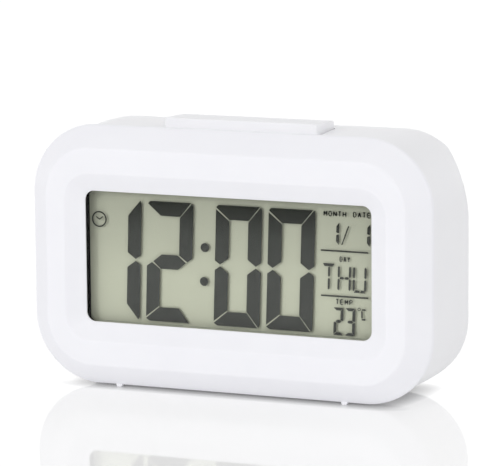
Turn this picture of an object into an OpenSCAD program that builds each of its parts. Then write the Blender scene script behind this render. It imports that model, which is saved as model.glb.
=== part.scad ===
// Digital alarm clock with a segment display, a snooze bar, four setting keys,
// an alarm switch and a bay for three small cells behind a hinged lid.
// The front faces -Y, +X is to the right seen from the front and +Z is up.
// The origin lies on the table, midway across the width and the depth.
// Inside the modules, depths count from the front of the bezel towards the back,
// and heights count from the middle of the bezel.

/* [Case] */
// Width of the case
case_w = 134; // [130:1:146]
// Height of the bezel, without the feet
case_h = 82.5; // [82:0.5:90]
// Depth from the bezel's front to the back
case_d = 45; // [45:0.5:52]
// Corner radius of the bezel, seen from the front
corner_r = 21.9; // [19:0.1:24]
// Wall of the two case halves
wall = 2; // [1.7:0.1:2.2]
// Height of the front feet
foot_h = 0.6; // [0.4:0.1:1.2]
// Distance of each foot from the middle
foot_x = 38.1; // [34:0.1:41]
// Width of a front foot
front_foot_w = 1.9; // [1.4:0.1:3]
// Radius of a rear foot
rear_foot_r = 3; // [2:0.1:4]
// Distance of the rear feet from the back
rear_foot_back = 12; // [10:0.5:16]

/* [Bezel] */
// Width of the outer bevel
bevel_w = 6.9; // [6:0.1:7.5]
// Depth of the outer bevel
bevel_d = 5.8; // [5:0.1:6]
// Depth of the seam between bezel and rear housing
seam_d = 6.9; // [6.8:0.1:7.4]
// Radius where the bevel meets the front
crest_round = 1.6; // [0.8:0.1:2]
// Radius where the bevel meets the side
bevel_round = 1.6; // [0.8:0.1:1.8]
// Width of the slope that falls to the window
slope_w = 5.8; // [5:0.1:6.4]
// Depth of the slope at the window
slope_d = 3.3; // [2.8:0.1:3.6]
// Radius where the slope meets the front
slope_round = 1.5; // [0.5:0.1:1.8]
// Straight edge round the window
lip_t = 0.5; // [0.4:0.1:0.8]
// Length of the tongue that enters the rear housing
tongue_l = 2; // [1.5:0.1:3]
// Thickness of the tongue
tongue_t = 1.2; // [1:0.1:1.4]
// Wall of the frame round the display stack
rim_t = 1.8; // [1.2:0.1:2]
// Depth that the frame round the display stack reaches
rim_end = 9.4; // [9:0.1:10.4]

/* [Rear housing] */
// How much lower the rear housing is than the bezel, at top and bottom
rear_drop = 1.05; // [0.6:0.05:1.4]
// Step of the rear housing behind the bezel
seam_step = 1.3; // [0.6:0.1:1.6]
// Depth at which the rear housing is widest
belly_d = 30; // [26:0.5:34]
// Radius of the edge round the back
back_r = 8; // [6:0.5:9]
// Radius of the flatter cone that trims the upper corners of the back
trim_r = 46; // [44:0.5:50]
// Distance of that cone's axis below the top
trim_drop = 30; // [28:0.5:32]

/* [Window and display] */
// Width of the window
window_w = 96; // [90:0.5:96.5]
// Height of the window
window_h = 41.6; // [40:0.1:42]
// Corner radius of the window
window_r = 3; // [2:0.1:4]
// Distance of the window's middle below the bezel's middle
window_drop = 0.2; // [0:0.05:0.4]
// Margin of lens and glass round the window
stack_margin = 2.5; // [2:0.1:2.6]
// Thickness of the clear lens
lens_t = 0.9; // [0.7:0.1:1]
// Thickness of the foam gasket
gasket_t = 1; // [0.8:0.1:1.2]
// How far the gasket's opening reaches below the window
gasket_dip = 0.5; // [0:0.1:0.8]
// Thickness of each sheet of display glass
glass_t = 0.7; // [0.5:0.05:0.8]
// Gap between the two sheets, drawn thicker than real
glass_gap = 0.12; // [0.12:0.02:0.2]
// Thickness of the segments in that gap
segment_t = 0.1; // [0.06:0.02:0.1]
// Ledge of the front glass that carries the contacts
contact_ledge = 2.6; // [2.4:0.1:3]
// Thickness of the reflecting film
film_t = 0.2; // [0.1:0.05:0.3]
// Thickness of the light guide
guide_t = 2.4; // [2:0.1:2.6]
// Margin above and below the large digits
digit_margin = 1.8; // [1.5:0.1:3]
// Margin left of the large digits
digit_side = 2.05; // [2:0.05:3]
// Gap between the two digits of a pair
digit_gap = 2.2; // [2:0.05:3]
// Gap between the hours and the minutes, where the colon stands
colon_gap = 7.7; // [6:0.1:9]
// Width of the column right of the digits
column_w = 20.05; // [19:0.05:21]
// Thickness of a large segment
digit_t = 4.5; // [3.5:0.1:4.9]
// Lean of the digits in degrees
digit_lean = 1.9; // [0:0.1:4]

/* [Snooze bar] */
// Width of the snooze bar
bar_w = 52.2; // [48:0.1:54]
// Depth of the snooze bar
bar_l = 15; // [14:0.1:15.5]
// Depth at which the bar starts
bar_front = 15; // [14.6:0.1:15.5]
// Height of the bar above the rear housing
bar_proud = 3; // [2.4:0.1:4]
// How much lower the bar's top is at the back than at the front
bar_fall = 0.7; // [0:0.1:0.9]
// Travel of the bar
bar_travel = 1.2; // [0.8:0.1:1.4]
// Gap between bar and housing
bar_gap = 0.4; // [0.3:0.05:0.5]
// Radius of the bar's upper edges
bar_round = 1.2; // [0.8:0.1:1.5]
// Wall of the bar
bar_wall = 1.8; // [1.4:0.1:2]
// Distance of the guide pins from the middle
pin_x = 18; // [15:0.5:20]
// Radius of a guide pin
pin_r = 1.2; // [1:0.1:1.3]
// Outer radius of a return spring
spring_r = 2.4; // [2.2:0.1:2.6]
// Wire of a return spring
spring_wire = 0.5; // [0.4:0.05:0.6]
// Turns of a return spring
spring_turns = 4.5; // [4:0.5:5]

/* [Keys and switch] */
// Distance between two keys
key_pitch = 15; // [14:0.1:15.5]
// Width of a key
key_w = 10; // [8:0.1:10.5]
// Height of a key
key_h = 5.5; // [5:0.1:6]
// Travel of a key
key_travel = 0.6; // [0.4:0.1:0.7]
// Gap between a key and the housing
key_gap = 0.25; // [0.2:0.05:0.3]
// Height of the keys above the middle of the clock
key_z = 20.2; // [19.5:0.1:21]
// Depth of the recess that holds the keys
panel_recess = 1; // [0.8:0.1:1.2]
// Travel of the alarm switch
switch_travel = 3; // [2:0.1:3.5]
// Distance of the alarm switch from the middle
switch_x = 27.5; // [27:0.1:28]

/* [Battery bay] */
// Diameter of a cell
cell_d = 10.5; // [10.3:0.1:10.6]
// Length of a cell, with its button
cell_l = 44.5; // [44:0.1:44.8]
// Distance between two cells
cell_pitch = 11.2; // [11:0.1:11.4]
// Length of the bay
bay_l = 51; // [50.6:0.1:52]
// Width of the lid
lid_w = 56; // [55:0.1:58]
// Height of the lid
lid_h = 36; // [35.6:0.1:37]
// Thickness of the lid
lid_t = 1.8; // [1.5:0.1:1.9]
// Height of the lid's middle below the middle of the clock
lid_drop = 10.35; // [10.2:0.05:11]
// Gap round the lid
lid_gap = 0.2; // [0.15:0.05:0.3]

/* [Boards and screws] */
// Width of the main board
board_w = 93; // [88:0.5:93]
// Height of the main board
board_h = 62; // [61:0.5:63]
// Thickness of the boards
board_t = 1.6; // [1.2:0.1:1.6]
// Distance of the case screws from the middle, sideways
screw_x = 52; // [51.5:0.1:53]
// Distance of the case screws from the middle, upwards
screw_z = 27; // [26.5:0.1:27.5]
// Radius of a screw's thread
screw_r = 1.2; // [1:0.05:1.3]
// Radius of a screw's head
head_r = 2.3; // [2:0.1:2.5]
// Height of a screw's head
head_h = 1.5; // [1.2:0.1:1.8]
// Radius of the sounder disc
sounder_r = 13.5; // [12:0.1:13.5]
// Gap between the battery bay and the sounder's ring
sounder_gap = 1.5; // [1:0.1:4]

/* [Hidden] */

// Slack that keeps cuts clear of the faces they open
slack = 0.5;
// Clearance between pieces that are fitted together and never move
fit_gap = 0.15;
// Clearance between a thread and its pilot hole
thread_gap = 0.05;
// Finest arc used on round pieces
$fn = 48;

// Places shared by the case halves
mid_z = foot_h + case_h / 2;
rear_h = case_h - 2 * rear_drop;
rear_r = corner_r - rear_drop;
tongue_out = seam_step + wall + fit_gap;
tongue_in = tongue_out + tongue_t;
back_in = case_d - wall;
trim_d = case_d - 5;
trim_taper = 0.4;

// Places of the display stack, one behind the other
lens_d = slope_d + lip_t;
gasket_d = lens_d + lens_t;
glass_d = gasket_d + gasket_t;
segment_d = glass_d + glass_t;
rear_glass_d = segment_d + glass_gap;
film_d = rear_glass_d + glass_t;
guide_d = film_d + film_t;
board_gap = 1.8;
board_d = guide_d + guide_t + board_gap;
board_back = board_d + board_t;
stack_w = window_w + 2 * stack_margin;
stack_h = window_h + 2 * stack_margin;
guide_margin = 0.3;
film_margin = 0.05;
strip_t = 2;
strip_l = stack_w - 10;
strip_z = -stack_h / 2 + contact_ledge / 2;

// Posts that carry the main board
post_x = board_w / 2 - 4.5;
post_z = board_h / 2 - 2.5;
post_r = 2.6;
boss_r = 3.3;
boss_end = 12;
seat_d = boss_end + 0.1;

// Snooze bar and what carries it
bar_mid = bar_front + bar_l / 2;
rear_top = rear_h / 2;
bar_top = rear_top + bar_proud;
collar_z = rear_top - wall - 1.6;
collar_x = 36;
flange_t = 1.5;
flange_edge = 1.6;
flange_top = collar_z - 0.1;
flange_bottom = flange_top - flange_t;
carrier_top = 27.5;
carrier_t = 1.6;
carrier_l = 8.5;
carrier_x = 36.2;
column_x = 33.2;
column_r = 2.6;
pin_end = carrier_top - carrier_t - bar_travel - 1;
plunger_r = 1.6;
plunger_gap = 0.2;
leg_w = 4;
leg_t = 2.4;
leg_d = board_back + 4.2;
snooze_switch_top = 22;
snooze_switch_h = 4;
snooze_plunger_top = snooze_switch_top + bar_travel + 0.3;

// Keys and the board behind them
panel_w = 84;
panel_h = 13;
panel_d = case_d - panel_recess;
pad_in = panel_d - 2.2;
key_names = 4;
key_x0 = -30;
key_face = case_d - 0.1;
key_flange_t = 1;
key_flange_edge = 1;
key_flange_d = pad_in - 0.05 - key_flange_t;
key_switch_h = 3.8;
key_switch_w = 6;
key_plunger_l = 2.5;
key_stem_end = key_flange_d - 1.2;
key_board_back = key_stem_end - 1 - key_switch_h;
key_board_d = key_board_back - board_t;
key_board_w = 86;
key_board_h = 12.5;
key_post_x = key_board_w / 2 - 2.8;
knob_w = 4;
knob_h = 3;
knob_flange_w = knob_w + 2 * switch_travel + 1;
knob_flange_h = 5.4;

// Battery bay
cell_r = cell_d / 2;
lid_z0 = -lid_drop - lid_h / 2;
lid_z1 = -lid_drop + lid_h / 2;
lid_in = case_d - lid_t;
lid_pin_r = lid_t / 2;
cell_mid = lid_in - 0.35 - cell_r;
bay_floor = cell_mid - cell_r - 0.35;
bay_wall = 1.5;
bay_z0 = lid_z0 - 2.3;
bay_z1 = lid_z1 + 1.1;
plate_t = 0.4;
plate_h = 9;
plate_x = bay_l / 2;
tail_w = 2;
tail_end = bay_floor - bay_wall - 2;
tab_x = 18;
tab_w = 7;
tab_t = 1.2;
tongue_half = 7;

// Sounder
sounder_z = -2;
sounder_t = 0.3;
ceramic_r = 9;
ceramic_t = 0.25;
ring_h = 2.5;
ring_r = sounder_r + 0.5;
sounder_x = bay_l / 2 + bay_wall + sounder_gap + ring_r;

// Points of an arc from angle a0 to a1
function arc(cx, cy, r, a0, a1, n) =
    [for (i = [0:n]) let (a = a0 + (a1 - a0) * i / n) [cx + r * cos(a), cy + r * sin(a)]];

// Bevel profile as [inset, depth]: front edge blend, straight bevel, side edge blend
function bevel_profile(w, d, r1, r2) =
    let (t = atan2(d, w), k1 = r1 * tan(t / 2), k2 = r2 * tan((90 - t) / 2))
    concat(arc(w + k1, r1, r1, -90, -90 - t, 5), arc(r2, d + k2, r2, -90 - t, -180, 5));

// Inset of the rear housing's gently bellied side at a depth
function belly(d) = seam_step * pow((belly_d - d) / (belly_d - seam_d), 2);

// Side profile of the rear housing, moved inwards by t
function rear_profile(t) =
    let (end = case_d - back_r, n = 8)
    concat([for (i = [0:n]) let (d = seam_d + (end - seam_d) * i / n) [belly(d) + t, d]],
           arc(belly(end) + back_r, end, back_r - t, 170, 90, 8));

// Inset of the trimming cone at its middle depth, just outside the rounded edge of the back
function trim_inset() =
    belly(case_d - back_r) + back_r - sqrt(pow(back_r, 2) - pow(trim_d - case_d + back_r, 2)) - 0.05;

// Moves children from the depth and mid-height frame into the clock's frame
module in_case() { translate([0, -case_d / 2, mid_z]) children(); }

// Moves children into the display's frame, level with the middle of the window
module in_display() { in_case() translate([0, 0, -window_drop]) children(); }

// Box between two corners, in x, depth and height
module block(x0, x1, d0, d1, z0, z1) {
    translate([x0, d0, z0]) cube([x1 - x0, d1 - d0, z1 - z0]);
}

// Round bar along the depth
module rod(x, z, d0, d1, r) {
    translate([x, d0, z]) rotate([-90, 0, 0]) cylinder(h = d1 - d0, r = r);
}

// Rounded rectangle as a 2D shape
module rounded(w, h, r) {
    square([w - 2 * r, h], center = true);
    square([w, h - 2 * r], center = true);
    for (x = [-1, 1], y = [-1, 1]) translate([x * (w / 2 - r), y * (h / 2 - r)]) circle(r);
}

// Plate with a rounded outline between two depths
module plate(w, h, r, d0, d1) {
    translate([0, d1, 0]) rotate([90, 0, 0]) linear_extrude(d1 - d0) rounded(w, h, r);
}

// Solid whose rounded-rectangle section follows a profile of [inset, depth] points
module slab(w, h, r, profile) {
    cx = w / 2 - r;
    cz = h / 2 - r;
    n = len(profile) - 1;
    first = profile[0][1];
    last = profile[n][1];
    rotate([90, 0, 90]) linear_extrude(2 * cx, center = true)
        polygon(concat([for (p = profile) [p[1], h / 2 - p[0]]],
                       [for (i = [n:-1:0]) [profile[i][1], profile[i][0] - h / 2]]));
    for (s = [-1, 1]) linear_extrude(2 * cz, center = true)
        polygon(concat([for (p = profile) [s * (w / 2 - p[0]), p[1]]], [[s * cx, last], [s * cx, first]]));
    for (q = [0:3])
        translate([q < 2 ? cx : -cx, 0, q == 0 || q == 3 ? cz : -cz])
        rotate([-90, 0, 0]) rotate([0, 0, 90 * q - 90]) rotate_extrude(angle = 90, $fn = 96)
        polygon(concat([for (p = profile) [r - p[0], p[1]]], [[0, last], [0, first]]));
}

// What is trimmed from the upper rear corners, moved inwards by t
module corner_trim(t) {
    half = 10;
    axis_x = case_w / 2 - trim_inset() - trim_r;
    axis_z = rear_h / 2 - trim_drop;
    for (s = [0, 1]) mirror([s, 0, 0]) difference() {
        block(axis_x, case_w / 2 + slack, trim_d - half, trim_d + half, axis_z, rear_h / 2 + slack);
        translate([axis_x, trim_d - half, axis_z]) rotate([-90, 0, 0]) cylinder(h = 2 * half, $fn = 96,
            r1 = trim_r - t + half * trim_taper, r2 = trim_r - t - half * trim_taper);
    }
}

// Places children at both signs of x and z
module four(x, z) { for (i = [-1, 1], j = [-1, 1]) translate([i * x, 0, j * z]) children(); }

// White front half of the case, with its feet, screw bosses and display frame
module front_bezel() {
    slope_angle = atan2(slope_d, slope_w);
    k = slope_round * tan(slope_angle / 2);
    reach = slope_w + k;
    rim_edge = slope_w + 1.6;
    rim_out = stack_margin + fit_gap + rim_t;
    slope_profile = concat(
        [[0, -slack]],
        [for (p = arc(0, slope_round, slope_round, -90, -90 - slope_angle, 4)) [-p[0], p[1]]],
        [[reach, slope_d], [reach, lens_d + slack]]);
    color("#f6f6fa") in_case() {
        difference() {
            union() {
                difference() {
                    union() {
                        slab(case_w, case_h, corner_r,
                             concat(bevel_profile(bevel_w, bevel_d, crest_round, bevel_round), [[0, seam_d]]));
                        slab(case_w, rear_h, rear_r, [[tongue_out, wall], [tongue_out, seam_d + tongue_l]]);
                    }
                    slab(case_w, rear_h, rear_r,
                         [[tongue_in + 4.6, wall], [tongue_in, wall + 3.2], [tongue_in, seam_d + tongue_l + slack]]);
                }
                translate([0, 0, -window_drop])
                    slab(window_w + 2 * rim_edge, window_h + 2 * rim_edge, window_r + rim_edge,
                         [[0, 0.3], [0, wall + 0.2], [rim_edge - rim_out, wall + 2.2], [rim_edge - rim_out, rim_end]]);
                four(screw_x, screw_z) rod(0, 0, wall - 0.3, boss_end, boss_r);
                four(post_x, post_z) rod(0, 0, wall - 0.3, board_d, post_r);
            }
            translate([0, 0, -window_drop]) {
                slab(window_w + 2 * reach, window_h + 2 * reach, window_r + reach, slope_profile);
                block(-stack_w / 2 - fit_gap, stack_w / 2 + fit_gap, lens_d, rim_end + slack,
                      -stack_h / 2 - fit_gap, stack_h / 2 + fit_gap);
            }
            four(screw_x, screw_z) rod(0, 0, wall + 2.5, boss_end + slack, screw_r + thread_gap);
            four(post_x, post_z) rod(0, 0, wall + 3, board_d + slack, screw_r + thread_gap);
        }
        for (s = [-1, 1]) translate([s * foot_x, 0, 1 - case_h / 2 - foot_h])
            plate(front_foot_w, 2, 0.5, seam_d - 1.4, seam_d);
    }
}

// Outline of the recessed strip that holds the keys
module key_panel(grow, d0, d1) {
    translate([0, 0, key_z]) plate(panel_w + 2 * grow, panel_h + 2 * grow, 3 + grow, d0, d1);
}

// Solid parts inside the rear housing that its wall carries
module rear_inside() {
    four(screw_x, screw_z) rod(0, 0, seat_d, case_d - 1, head_r + 1.8);
    key_panel(1.5, pad_in, case_d - 1);
    for (s = [-1, 1]) {
        rod(s * key_post_x, key_z, key_board_back, case_d - 1.5, post_r);
        translate([s * column_x, bar_mid, carrier_top]) cylinder(h = rear_top - 1 - carrier_top, r = column_r);
    }
    block(-collar_x, collar_x, bar_front - 2, bar_front + bar_l + 2, collar_z, rear_top - 1);
    block(-bay_l / 2 - bay_wall, bay_l / 2 + bay_wall, bay_floor - bay_wall, back_in + 0.5,
          bay_z0 - bay_wall, bay_z1 + bay_wall);
    block(-lid_w / 2 - 1.7, lid_w / 2 + 1.7, back_in - 1.5, back_in + 0.5,
          bay_z0 - bay_wall, bay_z1 + bay_wall);
    difference() {
        rod(sounder_x, sounder_z, back_in - ring_h, case_d - 1.5, ring_r);
        rod(sounder_x, sounder_z, back_in - ring_h - slack, back_in, sounder_r - 1.2);
    }
}

// Three half-round cradles that the cells lie in
module cradles() {
    difference() {
        for (x = [-13, 0, 13])
            block(x - 0.8, x + 0.8, bay_floor - 0.2, cell_mid - 1, bay_z0 - 0.2, bay_z1 + 0.2);
        for (i = [-1:1]) translate([0, cell_mid, i * cell_pitch - lid_drop])
            rotate([0, 90, 0]) cylinder(h = bay_l, r = cell_r + 0.3, center = true);
    }
}

// White rear half of the case, with the battery bay, key panel and screw wells
module rear_housing() {
    slot_w = bar_w + 2 * bar_gap;
    slot_l = bar_l + 2 * bar_gap;
    bell = rear_profile(wall);
    color("#eeeeef") in_case() {
        difference() {
            union() {
                difference() {
                    slab(case_w, rear_h, rear_r, rear_profile(0));
                    difference() {
                        slab(case_w, rear_h, rear_r, concat([[bell[0][0], seam_d - slack]], bell));
                        corner_trim(wall);
                    }
                    corner_trim(0);
                }
                rear_inside();
            }
            // Slot for the snooze bar
            translate([0, bar_mid, collar_z - slack]) linear_extrude(case_h)
                rounded(slot_w, slot_l, 2 + bar_gap);
            // Wells and holes of the case screws
            four(screw_x, screw_z) {
                rod(0, 0, seat_d + 4, case_d + slack, head_r + 0.5);
                rod(0, 0, seat_d - slack, case_d, screw_r + 0.2);
            }
            // Pilot holes of the carrier and key board screws
            for (s = [-1, 1]) {
                translate([s * column_x, bar_mid, carrier_top - slack])
                    cylinder(h = 7, r = screw_r + thread_gap);
                rod(s * key_post_x, key_z, key_board_back - slack, key_board_back + 6, screw_r + thread_gap);
            }
            // Recess and holes of the keys and the alarm switch
            key_panel(0, panel_d, case_d + slack);
            for (i = [0:key_names - 1]) translate([key_x0 + i * key_pitch, 0, key_z])
                plate(key_w + 2 * key_gap, key_h + 2 * key_gap, 1.2 + key_gap, pad_in - slack, case_d);
            block(switch_x - knob_w / 2 - 0.3, switch_x + knob_w / 2 + switch_travel + 0.3,
                  pad_in - slack, case_d, key_z - knob_h / 2 - 0.3, key_z + knob_h / 2 + 0.3);
            // Battery bay, its opening and the finger scoop over the lid
            block(-bay_l / 2, bay_l / 2, bay_floor, back_in, bay_z0, bay_z1);
            translate([0, 0, -lid_drop])
                plate(lid_w + 2 * lid_gap, lid_h + 2 * lid_gap, 2, back_in, case_d + slack);
            block(-lid_w / 2 - lid_gap, lid_w / 2 + lid_gap, back_in, case_d + slack, lid_z0 - lid_gap, lid_z0 + 4);
            translate([0, case_d + 1.2, lid_z1]) rotate([0, 90, 0]) cylinder(h = 16, r = 3, center = true);
            for (s = [-1, 1]) translate([s * (plate_x - plate_t / 2), 0, -lid_drop - s * -cell_pitch])
                block(-plate_t / 2 - 0.3, plate_t / 2 + 0.3, bay_floor - bay_wall - slack, bay_floor + slack,
                      -tail_w / 2 - 0.3, tail_w / 2 + 0.3);
            // Sound holes and vents
            rod(sounder_x, sounder_z, back_in - slack, case_d + slack, 0.9);
            for (a = [0:60:300]) rod(sounder_x + 4.2 * cos(a), sounder_z + 4.2 * sin(a),
                                     back_in - slack, case_d + slack, 0.9);
            for (i = [-2:2]) block(-sounder_x - 6, -sounder_x + 6, back_in - slack, case_d + slack,
                                   sounder_z + 3 * i - 0.6, sounder_z + 3 * i + 0.6);
        }
        cradles();
        for (s = [-1, 1]) translate([s * foot_x, case_d - rear_foot_back, -case_h / 2 - foot_h])
            cylinder(h = foot_h + rear_drop + 1, r = rear_foot_r);
    }
}

// Clear lens that closes the window
module window_lens() {
    color("#e8eef0", 0.3) in_display() plate(stack_w, stack_h, 1, lens_d, gasket_d);
}

// Black foam frame between the lens and the display glass
module window_gasket() {
    color("#1c1c1e") in_display() difference() {
        plate(stack_w, stack_h, 1, gasket_d, glass_d);
        for (z = [0, -gasket_dip]) translate([0, 0, z])
            plate(window_w, window_h, window_r, gasket_d - slack, glass_d + slack);
    }
}

// Front sheet of the display glass
module display_front_glass() {
    color("#dfe6e2", 0.3) in_display()
        block(-stack_w / 2, stack_w / 2, glass_d, segment_d, -stack_h / 2, stack_h / 2);
}

// Rear sheet, shorter below so that the contacts stay open
module display_rear_glass() {
    color("#c9cfc8", 0.3) in_display()
        block(-stack_w / 2, stack_w / 2, rear_glass_d, film_d, -stack_h / 2 + contact_ledge, stack_h / 2);
}

// Grey-green reflecting film behind the glass
module display_reflector() {
    color("#b4b8ac") in_display()
        block(-window_w / 2 + film_margin, window_w / 2 - film_margin, film_d, guide_d,
              -window_h / 2 + film_margin, window_h / 2 - film_margin);
}

// Extrudes a flat outline into the gap between the two sheets
module printed() {
    translate([0, segment_d + segment_t, 0]) rotate([90, 0, 0]) linear_extrude(segment_t) children();
}

// Which of the seven segments a numeral lights: top, right pair, bottom, left pair, middle
function lit(n) = [
    [1, 1, 1, 1, 1, 1, 0], [0, 1, 1, 0, 0, 0, 0], [1, 1, 0, 1, 1, 0, 1], [1, 1, 1, 1, 0, 0, 1],
    [0, 1, 1, 0, 0, 1, 1], [1, 0, 1, 1, 0, 1, 1], [1, 0, 1, 1, 1, 1, 1], [1, 1, 1, 0, 0, 0, 0],
    [1, 1, 1, 1, 1, 1, 1], [1, 1, 1, 1, 0, 1, 1]][n];

// Outlines of the seven segments, with bevelled ends that leave a fine gap g
function segments(w, h, t, g) =
    let (m = h / 2, e = t * 0.17, s = t * 0.38, u = t * 0.52, v = t * 0.33)
    [
        [[e, h], [w - e, h], [w - t + g / 2, h - t], [t, h - t], [0, h - e]],
        [[w - e + g, h - g / 3], [w, h - e - g], [w, m + v],
         [w - s, m + g], [w - t, m + u], [w - t, h - t - 1.5 * g]],
        [[w - e + g, g / 3], [w, e + g], [w, m - v], [w - s, m - g], [w - t, m - u], [w - t, t + 1.5 * g]],
        [[1.7 * e, 0], [w - e, 0], [w - t + g / 2, t], [t, t], [0, e]],
        [[0, 1.8 * e], [t, t + 1.5 * g], [t, m - u], [s, m - g], [0, m - v]],
        [[0, h - 1.8 * e], [t, h - t - 1.5 * g], [t, m + u], [s, m + g], [0, m + v]],
        [[s + 1.5 * g, m], [t + 1.5 * g, m + t / 2], [w - t - 1.5 * g, m + t / 2],
         [w - s - 1.5 * g, m], [w - t - g, m - t / 2], [t + g, m - t / 2]]
    ];

// One numeral at x, z, leaning to the right
module numeral(n, x, z, w, h, t, g) {
    outlines = segments(w, h, t, g);
    for (i = [0:6]) if (lit(n)[i] == 1)
        translate([x, z]) polygon([for (p = outlines[i]) [p[0] + (p[1] - h / 2) * tan(digit_lean), p[1]]]);
}

// Dark segments that show the time, the date and the temperature
module display_segments() {
    fine = 0.3;
    digit_h = window_h - 2 * digit_margin;
    digit_w = (window_w - digit_side - column_w - 2 * digit_gap - colon_gap) / 4;
    digit_mid = -0.92;
    base = digit_mid - digit_h / 2;
    ten_x = -window_w / 2 + digit_side;
    hour_x = ten_x + digit_w + digit_gap;
    minute_x = hour_x + digit_w + colon_gap;
    colon_x = minute_x - colon_gap / 2 + 0.3;
    column_x = window_w / 2 - column_w + 2.3;
    small_w = 3.1;
    small_t = 0.9;
    color("#3c3e3a") in_display() printed() {
        for (p = [[1, ten_x], [2, hour_x], [0, minute_x], [0, minute_x + digit_w + digit_gap]])
            numeral(p[0], p[1], base, digit_w, digit_h, digit_t, fine);
        for (z = [4.4, -6.3]) translate([colon_x + (z - digit_mid) * tan(digit_lean), z]) circle(1.4);
        // Date, temperature and the two rules between the fields
        translate([column_x, 0]) {
            for (x = [2.9, 13]) numeral(1, x, 7.8, small_w, 6.95, small_t, 0.15);
            polygon([[6.7, 7.95], [7.1, 7.95], [9.4, 13.85], [9, 13.85]]);
            for (p = [[2, 4.15], [3, 8.05]]) numeral(p[0], p[1], -20.2, small_w, 8.6, small_t, 0.15);
            for (z = [5.93, -8.1]) translate([0, z - 0.24]) square([15.5, 0.48]);
        }
        // Alarm sign: a ring with two hands
        translate([ten_x + 1.3, 11.4]) {
            difference() { circle(2.55); circle(2.12); }
            polygon([[-0.15, -0.1], [0.1, -0.25], [1.4, 0.7], [1.2, 1],
                     [0.05, 0.15], [-0.9, 0.85], [-1.1, 0.6]]);
        }
    }
}

// Clear plate that spreads the backlight behind the display
module backlight_guide() {
    color("#eef3f4", 0.5) in_display()
        block(-window_w / 2 + guide_margin, window_w / 2 - guide_margin, guide_d, guide_d + guide_t,
              -window_h / 2 + guide_margin, window_h / 2 - guide_margin);
}

// Heights of the lamps at the side of the light guide
function lamp_z() = [for (i = [-1:1]) i * window_h / 4];

// Three white lamps at the side of the light guide
module backlight_leds() {
    color("#f7f3d8") in_display() for (z = lamp_z())
        block(-window_w / 2 - 0.9, -window_w / 2 + 0.2, guide_d + 0.2, guide_d + guide_t - 0.2,
              z - 1.5, z + 1.5);
}

// Black frame that holds the light guide and presses the glass forward
module display_holder() {
    open_x = window_w / 2;
    open_z = window_h / 2;
    color("#1c1c1e") in_display() difference() {
        block(-stack_w / 2, stack_w / 2, film_d, board_d, -stack_h / 2, stack_h / 2);
        block(-open_x, open_x, film_d - slack, board_d + slack, -open_z, open_z);
        block(-strip_l / 2 - 0.2, strip_l / 2 + 0.2, film_d - slack, board_d + slack,
              strip_z - strip_t / 2 - 0.1, -open_z + slack);
        for (z = lamp_z())
            block(-open_x - 1, -open_x + slack, guide_d, guide_d + guide_t, z - 1.6, z + 1.6);
    }
}

// Elastic contact strip between the glass ledge and the main board
module contact_strip() {
    color("#6d6f72") in_display()
        block(-strip_l / 2, strip_l / 2, segment_d, board_d, strip_z - strip_t / 2, strip_z + strip_t / 2);
}

// Main circuit board, screwed to four posts of the bezel
module main_board() {
    color("#2f6b45") in_case() difference() {
        plate(board_w, board_h, 1.5, board_d, board_back);
        four(post_x, post_z) rod(0, 0, board_d - slack, board_back + slack, screw_r + 0.2);
    }
}

// Black resin dome over the clock chip
module chip_cover() {
    dome_r = 7;
    dome_h = 1.8;
    ball = (dome_r * dome_r + dome_h * dome_h) / (2 * dome_h);
    color("#151515") in_case() translate([-14, board_back, 2]) rotate([-90, 0, 0])
        rotate_extrude(angle = 360) polygon(concat([[0, 0]],
            arc(0, dome_h - ball, ball, asin((ball - dome_h) / ball), 90, 8)));
}

// Watch crystal, lying on the board
module clock_crystal() {
    can_r = 1;
    color("#c8c8cc") in_case() translate([2, board_back + can_r, 6]) {
        rotate([0, 90, 0]) cylinder(h = 6, r = can_r);
        for (z = [-0.4, 0.4]) translate([-2, 0, z]) rotate([0, 90, 0]) cylinder(h = 2, r = 0.15);
        block(-2.3, -1.7, -can_r, 0.15, -0.7, 0.7);
    }
}

// Resistors and capacitors in two rows beside the chip
module board_components() {
    color("#b49a6a") in_case() {
        for (i = [0:5], j = [0:1]) translate([-34 + 4 * i, board_back, -14 - 5 * j])
            block(0, 2, 0, 0.8, 0, 1.25);
        for (i = [0:1]) rod(14 + 8 * i, -16, board_back, board_back + 7, 2.5);
    }
}

// Bead that senses the room's temperature, on two stiff wires
module temperature_sensor() {
    reach = 9;
    color("#27282b") in_case() translate([-40, 0, sounder_z]) {
        for (z = [-0.7, 0.7]) rod(0, z, board_back, board_back + reach, 0.25);
        translate([0, board_back + reach, 0]) sphere(r = 1.4);
    }
}

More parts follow.
